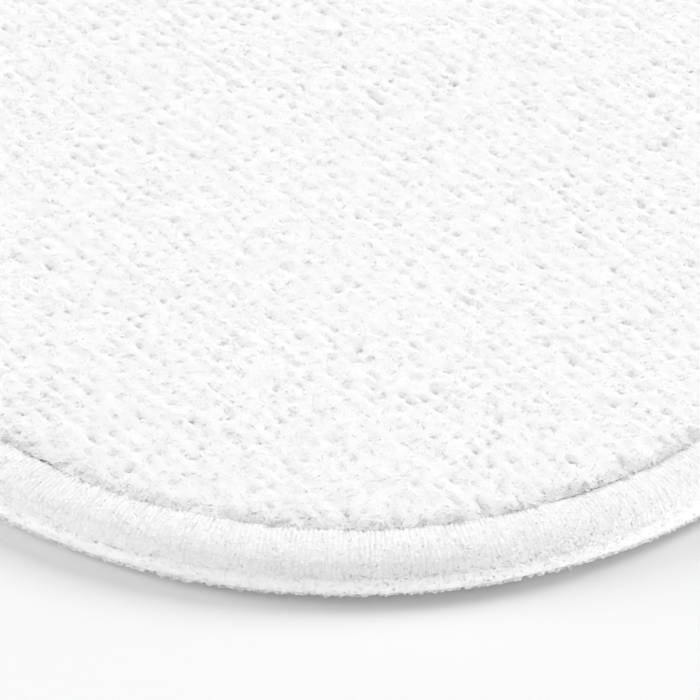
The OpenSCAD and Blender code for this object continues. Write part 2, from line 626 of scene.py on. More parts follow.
    def heights(self, outside: np.ndarray) -> np.ndarray:
        """Gives the surface's level at each node, rolled down to the rim.

        Args:
            outside: Distance of each node outside the rim, negative within it.

        Returns:
            The level of each node.
        """
        share = np.clip(1 + outside / self.rim_fall, 0, 1)
        roll = 1 - share**2
        crown = self.tip_z + np.clip(self.relief, -2.6 * MM, 0.1 * MM) - 0.1 * MM
        crown = crown - self.rim_dip * np.exp(outside / self.rim_reach)
        crown = crown + self.rim_tufts * np.exp(outside / (3 * MM)) * 0.35 * MM
        return self.rim_z + (crown - self.rim_z) * roll

    def push(self, outside: np.ndarray) -> np.ndarray:
        """Gives how far the tufts near the rim lean outwards.

        Args:
            outside: Distance of each node outside the rim, negative within it.

        Returns:
            The distance that each node moves outwards.
        """
        reach = 5 * MM / self.step
        lean = self.rim_lean + soft_noise(outside.shape, (reach, reach), 41) * 0.3 * MM
        lean = lean + np.clip(self.relief, -1.4 * MM, 0) * 0.8
        return np.clip(lean, 0, self.rim_gap) * np.exp(outside / (3.0 * MM))

    def level_at(self, x: np.ndarray, y: np.ndarray, field_values: np.ndarray) -> np.ndarray:
        """Reads a grid of values between its nodes."""
        gx = (x - self.places[0, 0, 0]) / self.step
        gy = (y - self.places[0, 0, 1]) / self.step
        i = gx.astype(int).clip(0, field_values.shape[0] - 2)
        j = gy.astype(int).clip(0, field_values.shape[1] - 2)
        fx, fy = gx - i, gy - j
        low = field_values[i, j] * (1 - fx) + field_values[i + 1, j] * fx
        high = field_values[i, j + 1] * (1 - fx) + field_values[i + 1, j + 1] * fx
        return low * (1 - fy) + high * fy

    def surface(self) -> tuple[np.ndarray, np.ndarray, np.ndarray, np.ndarray]:
        """Works out the pile's surface, with its rim fitted to the outline.

        Returns:
            The nodes' points, the mask of the cells that are kept, the depth of each node from 0 to 1,
            which the finish turns into painted shade, and the direction that each node faces.
        """
        keep = self.outside < 0.3 * self.step
        cells = keep[:-1, :-1] & keep[1:, :-1] & keep[:-1, 1:] & keep[1:, 1:]
        padded = np.pad(cells, 1)
        around = np.stack([padded[:-1, :-1], padded[1:, :-1], padded[:-1, 1:], padded[1:, 1:]])
        rim = around.any(0) & ~around.all(0)
        plan = self.places - np.where(rim, self.outside, 0.0)[..., None] * self.heading
        outside = np.where(rim, 0.0, np.minimum(self.outside, 0.0))
        z = self.heights(outside)
        plan = plan + self.heading * self.push(outside)[..., None]
        # Painted shade: depth below the tallest tips, which the pile's finish turns into darker colour in
        # the pits.
        depth = np.clip(-self.relief / (1.9 * MM), 0, 1)
        points = np.concatenate([plan, z[..., None]], axis=-1)
        quads = self.cell_corners(cells)
        facing = vertex_normals(points.reshape(-1, 3), quads).reshape(points.shape)
        facing = unit(facing + np.exp(outside / (2.5 * MM))[..., None] * np.array([0.0, 0.0, 0.9]))
        return points, cells, depth, facing

    @staticmethod
    def cell_corners(cells: np.ndarray) -> np.ndarray:
        """Gives the four nodes of each cell in a mask, anticlockwise from above."""
        ids = np.arange((cells.shape[0] + 1) * (cells.shape[1] + 1)).reshape(cells.shape[0] + 1, -1)
        return np.stack([ids[:-1, :-1], ids[1:, :-1], ids[1:, 1:], ids[:-1, 1:]], -1)[cells]

    def build_panels(self, material: bpy.types.Material) -> list[bpy.types.Object]:
        """Builds the pile's surface as closed panels that meet between rows.

        Args:
            material: The pile's material.

        Returns:
            The panels.
        """
        points, cells, depth, facing = self.surface()
        height = cells.shape[1]
        cuts = np.linspace(0, height, self.panels + 1).round().astype(int)
        made = []
        for number, (low, high) in enumerate(zip(cuts[:-1], cuts[1:]), start=1):
            mine = np.zeros_like(cells)
            mine[:, low:high] = cells[:, low:high]
            made.append(self.panel(f"pile_panel_{number}", points, mine, depth, facing, material))
        return made

    def panel(self, name: str, points: np.ndarray, cells: np.ndarray, depth: np.ndarray,
              facing: np.ndarray, material: bpy.types.Material) -> bpy.types.Object:
        """Builds one panel: its surface, its walls and its underside.

        Args:
            name: Name of the panel.
            points: Points of all nodes.
            cells: Mask of the panel's cells.
            depth: Depth of all nodes.
            facing: Direction that all nodes face.
            material: The pile's material.

        Returns:
            The panel.
        """
        quads = self.cell_corners(cells)
        used, corner = np.unique(quads, return_inverse=True)
        quads = corner.reshape(quads.shape)
        top = points.reshape(-1, 3)[used]
        rim = self.border(quads)
        foot = top[rim].copy()
        over, heading = self.outline.outside(foot[:, :2], self.inset)
        foot[:, :2] -= np.maximum(over, 0)[:, None] * heading
        foot[:, 2] = self.root_z
        under = len(top) + np.arange(len(rim))
        ahead, under_ahead = np.roll(rim, -1), np.roll(under, -1)
        walls = np.stack([ahead, rim, under, under_ahead], 1)
        places = np.concatenate([top, foot])
        uv = (places[:, :2] + places[:, 2:3] * np.array([0.2, 0.2])) + 0.5
        # Painted shade: the nodes' depth, in full on the walls and underside under the pile.
        shades = np.concatenate([depth.reshape(-1)[used], np.full(len(rim), 1.0)])
        normals = np.concatenate([facing.reshape(-1, 3)[used], np.zeros((len(rim), 3))])
        faces = [quads, walls, under[::-1][None]]
        piece = mesh_piece(name, places, faces, uv=uv, shades=shades, normals=normals)
        return settle(piece, material, "pile_yarn", "pile")

    @staticmethod
    def border(quads: np.ndarray) -> np.ndarray:
        """Finds a patch's border, in the order of its faces' corners.

        Args:
            quads: The patch's faces.

        Returns:
            The border's vertices, in order.
        """
        edges = np.concatenate([quads[:, [k, (k + 1) % 4]] for k in range(4)])
        size = int(quads.max()) + 1
        forward = edges[:, 0].astype(np.int64) * size + edges[:, 1]
        backward = edges[:, 1].astype(np.int64) * size + edges[:, 0]
        lone = edges[~np.isin(forward, backward)]
        after = dict(zip(lone[:, 0].tolist(), lone[:, 1].tolist()))
        order = [int(lone[0, 0])]
        while after[order[-1]] != order[0]:
            order.append(after[order[-1]])
        return np.array(order)

    def build_fibres(self, material: bpy.types.Material) -> list[bpy.types.Object]:
        """Builds the loose fibres that stand out of the tufts.

        Args:
            material: The fibres' material.

        Returns:
            The pieces of fibre.
        """
        draw = np.random.default_rng(51)
        last_row = int(self.outline.width / 2 / self.row_pitch)
        last_col = int(self.outline.length / 2 / self.tuft_pitch)
        r, c = np.meshgrid(np.arange(-last_row, last_row + 1), np.arange(-last_col, last_col + 1),
                           indexing="ij")
        centre = np.stack([(c + 0.5 * (r % 2)) * self.tuft_pitch, r * self.row_pitch], -1).reshape(-1, 2)
        centre = np.repeat(centre, self.fibres_per_tuft, axis=0)
        rim = self.places[(self.outside > -2.2 * MM) & (self.outside < 0)]
        centre = np.concatenate([centre, rim[draw.integers(0, len(rim), self.rim_fibres)]])
        off = draw.normal(0, 0.95 * MM, centre.shape)
        plan = centre + off
        outside, heading = self.outline.outside(plan, self.inset)
        keep = outside < 0.0
        plan, off, outside, heading = plan[keep], off[keep], outside[keep], heading[keep]
        count = len(plan)
        within = np.minimum(self.outside, 0.0)
        levels = self.heights(within)
        z = self.level_at(plan[:, 0], plan[:, 1], levels) - 0.12 * MM
        push = self.level_at(plan[:, 0], plan[:, 1], self.push(within))
        near = np.exp(outside / (1.3 * MM))[:, None]
        roots = np.column_stack([plan + heading * push[:, None], z])
        side = unit(off) * 0.4 + draw.normal(0, 0.5, off.shape) + heading * near * 1.2
        lift = draw.uniform(0.12, 0.5, count) * np.linalg.norm(side, axis=1) * (1 - 0.25 * near[:, 0])
        aim = unit(np.column_stack([side, lift]))
        length = draw.uniform(0.6, 1.5, count) * MM * (1 + 0.8 * near[:, 0])
        tips = roots + aim * length[:, None]
        faces_up = unit(aim * 0.7 + draw.normal(0, 0.45, aim.shape) + np.array([0.0, 0.0, 1.0]))
        pieces = 4
        cuts = np.quantile(plan[:, 1], np.linspace(0, 1, pieces + 1))
        made = []
        for number in range(pieces):
            mine = (plan[:, 1] >= cuts[number]) & (plan[:, 1] < cuts[number + 1] + (number == pieces - 1))
            points, faces = blades(roots[mine], tips[mine], self.fibre_width)
            uv = points[:, :2] + 0.5
            normals = np.repeat(faces_up[mine], 3, axis=0)
            piece = mesh_piece(f"pile_fibres_{number + 1}", points, faces, uv=uv, normals=normals)
            made.append(settle(piece, material, "pile_yarn"))
        return made


# ---------------------------------------------------------------- overlocked edge


@dataclass
class OverlockedEdge:
    """The threads that wrap the mat's edge: an upper roll over a lower lip.

    Attributes:
        outline: Plan of the whole mat.
        crest_z: Level of the roll's crest.
        inner_z: Level of the roll's inner edge.
        crease_z: Level of the crease between the roll and the lip.
        pressed_z: Level of the layers under the roll.
        lip_z: Levels of the lip's lowest and highest points.
        sheet_z: Level of the base sheet's underside.
        edge_width: Width of the cover on the top face.
        under_width: Width of the cover on the underside.
        crest_inset: Inset of the crest.
        crease_inset: Inset of the crease.
        shoulder: Power of the outer curve; 1 gives an ellipse and less gives a squarer shoulder.
        cut_inset: Inset of the layers inside.
        stitch_pitch: Distance between stitches.
        stations_per_stitch: Stations of the swept section in each stitch.
        roll_rib: Depth of the grooves between the roll's stitches.
        lip_rib: Depth of the grooves between the lip's stitches.
        rough: Height of the yarn's roughness.
        fibres: Number of fine fibres on the roll and the lip.
        fibre_width: Width of a fine fibre at its middle.
        loops: Number of small loops under the lip.
        loop_thread: Half the width of a loop's thread.
    """

    outline: Outline
    crest_z: float
    inner_z: float
    crease_z: float
    pressed_z: float
    lip_z: tuple[float, float]
    sheet_z: float
    edge_width: float
    under_width: float
    crest_inset: float = 7.7 * MM
    crease_inset: float = 1.7 * MM
    shoulder: float = 0.82
    cut_inset: float = 3.5 * MM
    stitch_pitch: float = 0.96 * MM
    stations_per_stitch: int = 3
    roll_rib: float = 0.10 * MM
    lip_rib: float = 0.12 * MM
    rough: float = 0.03 * MM
    fibres: int = 88000
    fibre_width: float = 0.15 * MM
    loops: int = 10000
    loop_thread: float = 0.055 * MM
    walk: Walk = field(init=False)

    def __post_init__(self) -> None:
        """Sets out the stations in each stitch."""
        self.walk = self.outline.walk(self.stitch_pitch, 5 * MM, self.stations_per_stitch)

    def roll_section(self, count: int) -> np.ndarray:
        """Gives the upper roll's outer face, from its inner edge over the crest to the crease.

        Args:
            count: Number of points.

        Returns:
            Rows of inset and level.
        """
        rise = self.crest_z - self.crease_z
        low = math.asin((self.inner_z - self.crease_z) / rise)
        reach = (self.edge_width - self.crest_inset) / math.cos(low)
        angle = np.linspace(low, math.radians(152), 400)
        outer = angle > math.pi / 2
        bulge = np.where(outer, self.shoulder, 1.0)
        width = np.where(outer, self.crest_inset - self.crease_inset, reach)
        inset = self.crest_inset + width * np.sign(np.cos(angle)) * np.abs(np.cos(angle)) ** bulge
        level = self.crease_z + rise * np.sin(angle) ** bulge
        ends = np.array([[inset[-1], level[-1]], [self.crease_inset + 0.1 * MM, self.crease_z + 0.3 * MM],
                         [0.85 * MM, self.crease_z - 0.55 * MM]])
        share = np.linspace(0, 1, 100)[1:, None]
        curl = (1 - share) ** 2 * ends[0] + 2 * share * (1 - share) * ends[1] + share**2 * ends[2]
        inset = np.concatenate([[self.edge_width], inset, curl[:, 0]])
        level = np.concatenate([[self.pressed_z + 0.1 * MM], level, curl[:, 1]])
        return self.evenly(np.stack([inset, level], 1), count)

    def lip_section(self, count: int) -> np.ndarray:
        """Gives the lip's outer face, from the crease round to the underside's inner edge.

        Args:
            count: Number of points.

        Returns:
            Rows of inset and level.
        """
        radius = (self.lip_z[1] - self.lip_z[0]) / 2
        angle = np.linspace(math.radians(80), 1.5 * math.pi, count - 1)
        inset = radius + radius * np.cos(angle)
        level = self.lip_z[0] + radius + radius * np.sin(angle)
        inset = np.concatenate([inset, [self.under_width]])
        level = np.concatenate([level, [self.sheet_z - 0.6 * MM]])
        return np.stack([inset, level], 1)

    @staticmethod
    def evenly(line: np.ndarray, count: int) -> np.ndarray:
        """Spaces points evenly along a line.

        Args:
            line: Rows of points on the line.
            count: Number of points wanted.

        Returns:
            The evenly spaced points.
        """
        way = np.concatenate([[0], np.cumsum(np.linalg.norm(np.diff(line, axis=0), axis=1))])
        wanted = np.linspace(0, way[-1], count)
        return np.stack([np.interp(wanted, way, line[:, k]) for k in (0, 1)], 1)

    def sweep(self, section: np.ndarray, back: np.ndarray, rib: float, seed: int,
              fade: np.ndarray) -> tuple[np.ndarray, np.ndarray, np.ndarray]:
        """Carries a ribbed section round the mat.

        Args:
            section: The outer face's rows of inset and level.
            back: Rows that close the section inside the edge.
            rib: Depth of the grooves between stitches.
            seed: Seed of the roughness.
            fade: Share of the rib's depth at each of the section's points.

        Returns:
            Points by station and section point, the distance along the section and the depth from 0 to 1,
            which the finish turns into painted shade.
        """
        stations = len(self.walk.way)
        tangent = np.gradient(section, axis=0)
        normal = unit(np.stack([tangent[:, 1], -tangent[:, 0]], 1))
        if normal[len(normal) // 2] @ (section[len(normal) // 2] - back.mean(0)) < 0:
            normal = -normal
        draw = np.random.default_rng(seed)
        stitch = np.arange(stations) // self.stations_per_stitch
        in_groove = (np.arange(stations) % self.stations_per_stitch == 0).astype(float)
        stitches = stations // self.stations_per_stitch
        proud = draw.normal(0, 0.25 * rib, stitches)[stitch][:, None]
        shape = (stations, len(section))
        fine = soft_noise(shape, (0.55, 0.45), seed + 1) * self.rough
        coarse = soft_noise(shape, (14, 3), seed + 2) * self.rough * 1.3
        groove = in_groove[:, None] * draw.uniform(0.6, 1.3, stitches)[stitch][:, None] * rib
        lift = (-groove + proud) * fade + fine + coarse
        lift[:, [0, -1]] *= 0.3
        inset = section[None, :, 0] + normal[None, :, 0] * lift
        level = section[None, :, 1] + normal[None, :, 1] * lift
        sway = soft_noise(shape, (2.0, 2.5), seed + 3) * 0.07 * MM
        inset = np.concatenate([inset, np.broadcast_to(back[:, 0], (stations, len(back)))], 1)
        level = np.concatenate([level, np.broadcast_to(back[:, 1], (stations, len(back)))], 1)
        plan = self.walk.foot[:, None] + self.walk.out[:, None] * (self.outline.corner - inset)[..., None]
        along = np.stack([-self.walk.out[:, 1], self.walk.out[:, 0]], 1)
        sway = np.concatenate([sway, np.zeros((stations, len(back)))], 1)
        plan = plan + along[:, None] * sway[..., None]
        loop = np.concatenate([section, back])
        across = np.concatenate([[0], np.cumsum(np.linalg.norm(np.diff(loop, axis=0), axis=1))])
        # Painted shade: the grooves between stitches and the dips of the rough yarn are darkened by this
        # depth, and the hidden back rows take it in full.
        depth = np.clip(0.25 + (groove * fade - fine) / (2.2 * rib), 0, 1)
        depth = np.concatenate([depth, np.ones((stations, len(back)))], 1)
        return np.concatenate([plan, level[..., None]], -1), across, depth

    def ring(self, name: str, points: np.ndarray, across: np.ndarray, depth: np.ndarray, parts: int,
             material: bpy.types.Material, slot: str, node: str) -> list[bpy.types.Object]:
        """Makes the swept section into closed pieces end to end.

        Args:
            name: Name of the pieces.
            points: Points by station and section point.
            across: Distance along the section at each section point.
            depth: Depth of each point from 0 to 1, which the finish turns into painted shade.
            parts: Number of pieces.
            material: Their material.
            slot: The record's material slot.
            node: The CAD node that they stand for.

        Returns:
            The pieces.
        """
        stations, rows = points.shape[:2]
        ring_ids = np.arange(stations * rows).reshape(stations, rows)
        ring_next = np.roll(ring_ids, -1, axis=0)
        faces = [ring_ids, ring_next, np.roll(ring_next, -1, axis=1), np.roll(ring_ids, -1, axis=1)]
        facing = vertex_normals(points.reshape(-1, 3), np.stack(faces, -1).reshape(-1, 4))
        facing = facing.reshape(points.shape)
        cuts = np.linspace(0, stations, parts + 1).round().astype(int)
        made = []
        for number, (first, last) in enumerate(zip(cuts[:-1], cuts[1:]), start=1):
            pick = np.arange(first, last + 1) % stations
            ids = np.arange(len(pick) * rows).reshape(len(pick), rows)
            ahead = np.roll(ids, -1, axis=1)
            quads = np.stack([ids[:-1], ids[1:], ahead[1:], ahead[:-1]], -1).reshape(-1, 4)
            caps = [ids[0][None], ids[-1][::-1][None]]
            way = np.arange(first, last + 1) * self.walk.total / stations
            uv = np.stack(np.broadcast_arrays(way[:, None], across[None]), -1).reshape(-1, 2)
            label = name if parts == 1 else f"{name}_{number}"
            piece = mesh_piece(label, points[pick].reshape(-1, 3), [quads, *caps], uv=uv,
                               shades=depth[pick].reshape(-1), normals=facing[pick].reshape(-1, 3))
            made.append(settle(piece, material, slot, node))
        return made

    def build_threads(self, material: bpy.types.Material,
                      lip_material: bpy.types.Material) -> list[bpy.types.Object]:
        """Builds the upper roll and the lower lip.

        Args:
            material: The roll's yarn.
            lip_material: The lip's yarn.

        Returns:
            The pieces of both threads.
        """
        roll = self.roll_section(20)
        back = np.array([[self.cut_inset, self.crease_z - 0.6 * MM],
                         [self.cut_inset, self.pressed_z + 0.1 * MM]])
        share = np.linspace(0, 1, len(roll))
        fade = np.interp(share, [0, 0.15, 0.5, 0.8, 1], [0.6, 1.0, 0.9, 0.5, 0.1])[None]
        upper = self.sweep(roll, back, self.roll_rib, 61, fade)
        made = self.ring("edge_roll", *upper, 2, material, "upper_edge_yarn", "upper_looper_thread")
        lip = self.lip_section(10)
        back = np.array([[self.under_width, self.sheet_z - 0.1 * MM],
                         [self.cut_inset, self.sheet_z - 0.1 * MM],
                         [self.cut_inset, self.crease_z - 0.9 * MM]])
        fade = np.full((1, len(lip)), 0.3)
        lower = self.sweep(lip, back, self.lip_rib, 71, fade)
        made += self.ring("edge_lip", *lower, 1, lip_material, "lower_edge_yarn", "lower_looper_thread")
        return made

    def build_fuzz(self, material: bpy.types.Material,
                   lip_material: bpy.types.Material) -> list[bpy.types.Object]:
        """Builds the fine fibres on the roll and the small loops under the lip.

        Args:
            material: The roll's fibres.
            lip_material: The lip's fibres.

        Returns:
            The pieces of fuzz.
        """
        return [*self.build_fibres(material, lip_material), self.lip_loops(lip_material)]

    def build_fibres(self, material: bpy.types.Material,
                     lip_material: bpy.types.Material) -> list[bpy.types.Object]:
        """Builds the fine fibres that lie across the roll and the lip.

        Args:
            material: The roll's fibres.
            lip_material: The lip's fibres.

        Returns:
            The roll's fuzz and the lip's.
        """
        draw = np.random.default_rng(81)
        roll = self.roll_section(130)
        line = np.concatenate([roll, self.lip_section(60)[12:48]])
        tangent = unit(np.gradient(line, axis=0))
        normal = np.stack([-tangent[:, 1], tangent[:, 0]], 1)
        centre = np.array([self.crest_inset, self.crease_z - 2 * MM])
        normal *= np.sign(((line - centre) * normal).sum(1))[:, None]
        count = self.fibres
        station = draw.integers(0, len(self.walk.way), count)
        place = draw.integers(0, len(line), count)
        out = self.walk.out[station]
        along = np.stack([-out[:, 1], out[:, 0]], 1)

        def in_space(rows: np.ndarray) -> np.ndarray:
            """Turns directions in the section's plane into directions in space."""
            return np.column_stack([-out * rows[:, :1], rows[:, 1]])

        base = line[place]
        foot = self.walk.foot[station] + out * (self.outline.corner - base[:, :1])
        foot = foot + along * draw.uniform(-0.5, 0.5, count)[:, None] * MM
        roots = np.column_stack([foot, base[:, 1]]) + in_space(normal[place]) * 0.02 * MM
        turn = draw.uniform(0, 2 * math.pi, count)[:, None]
        facing = in_space(normal[place])
        aim = in_space(tangent[place]) * np.cos(turn) + facing * draw.uniform(0.1, 0.7, count)[:, None]
        aim[:, :2] += along * np.sin(turn) * 0.8
        length = draw.uniform(0.35, 1.05, count) * MM
        sag = facing * draw.uniform(0.05, 0.22, count)[:, None]
        points, _ = leaves(roots, aim, sag, length, self.fibre_width)
        points[:, 2] = np.maximum(points[:, 2], 0.1 * MM)
        normals = np.repeat(unit(facing + unit(aim) * 0.3 + draw.normal(0, 0.5, aim.shape)), 4, axis=0)
        low = np.repeat(place >= len(roll), 4)
        made = []
        for name, mine, finish, slot in (("roll_fuzz", ~low, material, "upper_edge_yarn"),
                                         ("lip_fuzz", low, lip_material, "lower_edge_yarn")):
            faces = [np.arange(int(mine.sum())).reshape(-1, 4)]
            piece = mesh_piece(name, points[mine], faces, uv=points[mine, :2] + 0.5, normals=normals[mine])
            made.append(settle(piece, finish, slot))
        return made

    def lip_loops(self, material: bpy.types.Material) -> bpy.types.Object:
        """Builds the small loops of textured yarn along the lip's bottom edge.

        Args:
            material: The lip's fibres.

        Returns:
            The loops.
        """
        draw = np.random.default_rng(91)
        count = self.loops
        segments = 5
        station = draw.integers(0, len(self.walk.way), count)
        out = self.walk.out[station]
        along = np.stack([-out[:, 1], out[:, 0]], 1)
        radius = (self.lip_z[1] - self.lip_z[0]) / 2
        angle = draw.normal(math.radians(222), math.radians(12), count)
        inset = radius + radius * np.cos(angle)
        level = self.lip_z[0] + radius + radius * np.sin(angle)
        foot = self.walk.foot[station] + out * (self.outline.corner - inset)[:, None]
        roots = np.column_stack([foot, level])
        normal = np.column_stack([-out * np.cos(angle)[:, None], np.sin(angle)])
        size = (0.10 + draw.gamma(1.4, 0.055, count).clip(0, 0.34)) * MM
        wide = draw.uniform(0.6, 1.5, count)
        skew = draw.normal(0, 0.5, count)
        turn = np.linspace(-0.35, math.pi + 0.35, segments + 1)
        side = np.column_stack([along, skew * 0.3])
        spine = (
            roots[:, None]
            + side[:, None] * (size * wide)[:, None, None] * np.cos(turn)[None, :, None]
            + normal[:, None] * size[:, None, None] * 1.7 * (np.sin(turn) + 0.1)[None, :, None]
        )
        lit = unit(np.column_stack([out, np.full(count, 0.8)]))
        run = np.gradient(spine, axis=1)
        across = unit(np.cross(run.reshape(-1, 3), np.repeat(lit, segments + 1, axis=0)))
        flat = across.reshape(spine.shape) * self.loop_thread
        points = np.stack([spine - flat, spine + flat], 2).reshape(-1, 3)
        per = 2 * (segments + 1)
        first = np.arange(count)[:, None] * per
        steps = np.arange(segments)[:, None] * 2 + np.array([[0, 1, 3, 2]])
        faces = [(first[:, None] + steps[None]).reshape(-1, 4)]
        points[:, 2] = np.maximum(points[:, 2], 0.05 * MM)
        normals = np.repeat(unit(lit + draw.normal(0, 0.3, (count, 3))), per, axis=0)
        piece = mesh_piece("lip_loops", points, faces, uv=points[:, :2] + 0.5, normals=normals)
        return settle(piece, material, "lower_edge_yarn")


@dataclass
class NeedleStitches:
    """The needle thread's stitches, in the groove between the edge and the pile.

    Attributes:
        outline: Plan of the whole mat.
        inset: Inset of the thread's middle.
        level: Level of the thread's middle.
        diameter: Diameter of the thread.
        stitch: Length of a stitch.
    """

    outline: Outline
    inset: float
    level: float
    diameter: float
    stitch: float = 2.88 * MM

    def build(self, material: bpy.types.Material) -> bpy.types.Object:
        """Builds the stitches as one ring that dips into the cloth between them.

        Args:
            material: The thread's material.

        Returns:
            The ring of stitches.
        """
        rings, sides = 5, 5
        walk = self.outline.walk(self.stitch, self.inset, rings)
        phase = 2 * math.pi * (np.arange(len(walk.way)) % rings) / rings
        swell = 0.5 - 0.5 * np.cos(phase)
        radius = self.diameter / 2 * (0.55 + 0.45 * swell)
        level = self.level - self.diameter * 0.3 * (1 - swell)
        angle = 2 * math.pi * np.arange(sides) / sides
        inset = self.inset + radius[:, None] * np.cos(angle)
        z = level[:, None] + radius[:, None] * np.sin(angle)
        plan = walk.foot[:, None] + walk.out[:, None] * (self.outline.corner - inset)[..., None]
        points = np.concatenate([plan, z[..., None]], -1)
        ids = np.arange(points.shape[0] * sides).reshape(-1, sides)
        nxt, up = np.roll(ids, -1, axis=0), np.roll(ids, -1, axis=1)
        quads = np.stack([ids, nxt, np.roll(nxt, -1, axis=1), up], -1).reshape(-1, 4)
        piece = mesh_piece("needle_thread_stitches", points.reshape(-1, 3), [quads])
        return settle(piece, material, "needle_yarn", "needle_thread")


# ---------------------------------------------------------------- layers inside and underneath


@dataclass
class Layers:
    """The layers under the pile: backing, latex, felt and the studded base.

    Attributes:
        outline: Plan of the whole mat.
        cut_inset: Inset of the layers' cut edge.
        stud_inset: Inset of the stud field.
        stud_pitch: Distance between studs.
        stud_radius: Radius of a stud where it meets the sheet.
        sheet_thickness: Thickness of the base sheet.
        label_border: Bare border round the label.
    """

    outline: Outline
    cut_inset: float
    stud_inset: float
    stud_pitch: float = 8.5 * MM
    stud_radius: float = 1.7 * MM
    sheet_thickness: float = SHEET_THICKNESS
    label_border: float = 3 * MM

    def plate(self, name: str, inset: float, low: float, high: float, bevel: float) -> bpy.types.Object:
        """Models a round-cornered plate.

        Args:
            name: Name of the piece.
            inset: Inset of its edge from the mat's outside.
            low: Level of its underside.
            high: Level of its top.
            bevel: Radius of its upper and lower edges.

        Returns:
            The plate.
        """
        bpy.ops.object.select_all(action="DESELECT")
        length, width = self.outline.length - 2 * inset, self.outline.width - 2 * inset
        bpy.ops.mesh.primitive_plane_add(size=1, location=(0, 0, low))
        piece = bpy.context.active_object
        piece.name = name
        piece.scale = (length, width, 1)
        bpy.ops.object.transform_apply(location=True, rotation=True, scale=True)
        bpy.ops.object.mode_set(mode="EDIT")
        bpy.ops.mesh.select_all(action="SELECT")
        bpy.ops.mesh.bevel(offset=self.outline.corner - inset, segments=32, affect="VERTICES")
        bpy.ops.mesh.select_all(action="SELECT")
        bpy.ops.mesh.extrude_region_move(TRANSFORM_OT_translate={"value": (0, 0, high - low)})
        bpy.ops.mesh.select_all(action="SELECT")
        bpy.ops.mesh.normals_make_consistent(inside=False)
        bpy.ops.object.mode_set(mode="OBJECT")
        if bevel > 0:
            rim = piece.modifiers.new("rim", "BEVEL")
            rim.width = bevel
            rim.segments = 2
            rim.angle_limit = math.radians(60)
            bpy.ops.object.modifier_apply(modifier=rim.name)
        bpy.ops.object.shade_smooth_by_angle(angle=math.radians(40))
        return piece

    def build_backing(self) -> bpy.types.Object:
        """Builds the woven cloth that the tufts are stitched through."""
        low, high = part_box("primary_backing")
        piece = self.plate("primary_backing_cloth", self.cut_inset, low[2], high[2], 0.1 * MM)
        settle(piece, BACKING_WEAVE.build(), "backing_weave", "primary_backing")
        return piece

    def build_felt(self) -> bpy.types.Object:
        """Builds the felt pad."""
        low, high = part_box("felt_pad")
        piece = self.plate("felt_cushion", self.cut_inset, low[2], high[2], 0.3 * MM)
        settle(piece, FELT.build(), "felt", "felt_pad")
        return piece

    def build_base(self) -> list[bpy.types.Object]:
        """Builds the anti-slip sheet and its studs.

        Returns:
            The sheet and the studs.
        """
        low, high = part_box("anti_slip_base")
        sheet_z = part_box("felt_pad")[0][2] - self.sheet_thickness
        sheet = self.plate("anti_slip_sheet", self.cut_inset, sheet_z, high[2], 0.15 * MM)
        rubber = BASE_RUBBER.build()
        settle(sheet, rubber, "base_rubber", "anti_slip_base")
        studs = self.studs(low[2], sheet_z)
        settle(studs, rubber, "base_rubber", "anti_slip_base")
        return [sheet, studs]

    def studs(self, low: float, high: float) -> bpy.types.Object:
        """Models one stud, repeats it over the field and clears the border and the label's window.

        Args:
            low: Level of the studs' feet.
            high: Level of the sheet that they stand on.

        Returns:
            The studs.
        """
        bpy.ops.object.select_all(action="DESELECT")
        reach = np.array([self.outline.length, self.outline.width]) / 2 - self.stud_inset
        count = np.floor(reach / self.stud_pitch).astype(int)
        start = -count * self.stud_pitch
        bpy.ops.mesh.primitive_cone_add(
            vertices=8, radius1=self.stud_radius * 0.75, radius2=self.stud_radius,
            depth=high - low, end_fill_type="NGON", location=(start[0], start[1], (low + high) / 2))
        piece = bpy.context.active_object
        piece.name = "anti_slip_studs"
        bpy.ops.object.transform_apply(location=True, rotation=True, scale=True)
        for axis in (0, 1):
            row = piece.modifiers.new("row", "ARRAY")
            row.use_relative_offset = False
            row.use_constant_offset = True
            row.constant_offset_displace = [self.stud_pitch * (axis == k) for k in range(3)]
            row.count = int(2 * count[axis] + 1)
            bpy.ops.object.modifier_apply(modifier=row.name)
        spots = np.empty(len(piece.data.vertices) * 3)
        piece.data.vertices.foreach_get("co", spots)
        plan = spots.reshape(-1, 3)[:, :2]
        middle = np.round((plan - start) / self.stud_pitch) * self.stud_pitch + start
        outside, _ = self.outline.outside(middle, self.stud_inset + self.stud_radius)
        label_low, label_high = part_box("care_label")
        border = self.label_border + self.stud_radius
        covered = (np.abs(middle[:, 0]) < label_high[0] + border) & (middle[:, 1] > label_low[1] - border)
        bpy.ops.object.mode_set(mode="EDIT")
        bpy.ops.mesh.select_all(action="DESELECT")
        bpy.ops.object.mode_set(mode="OBJECT")
        piece.data.vertices.foreach_set("select", (outside > 0) | covered)
        bpy.ops.object.mode_set(mode="EDIT")
        bpy.ops.mesh.select_mode(type="VERT")
        bpy.ops.mesh.delete(type="VERT")
        bpy.ops.object.mode_set(mode="OBJECT")
        bpy.ops.object.shade_smooth_by_angle(angle=math.radians(40))
        return piece

    def dress_latex(self) -> None:
        """Gives the CAD model's latex coat its finish."""
        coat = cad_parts["latex_coat"]
        coat.data.materials.clear()
        coat.data.materials.append(LATEX.build())


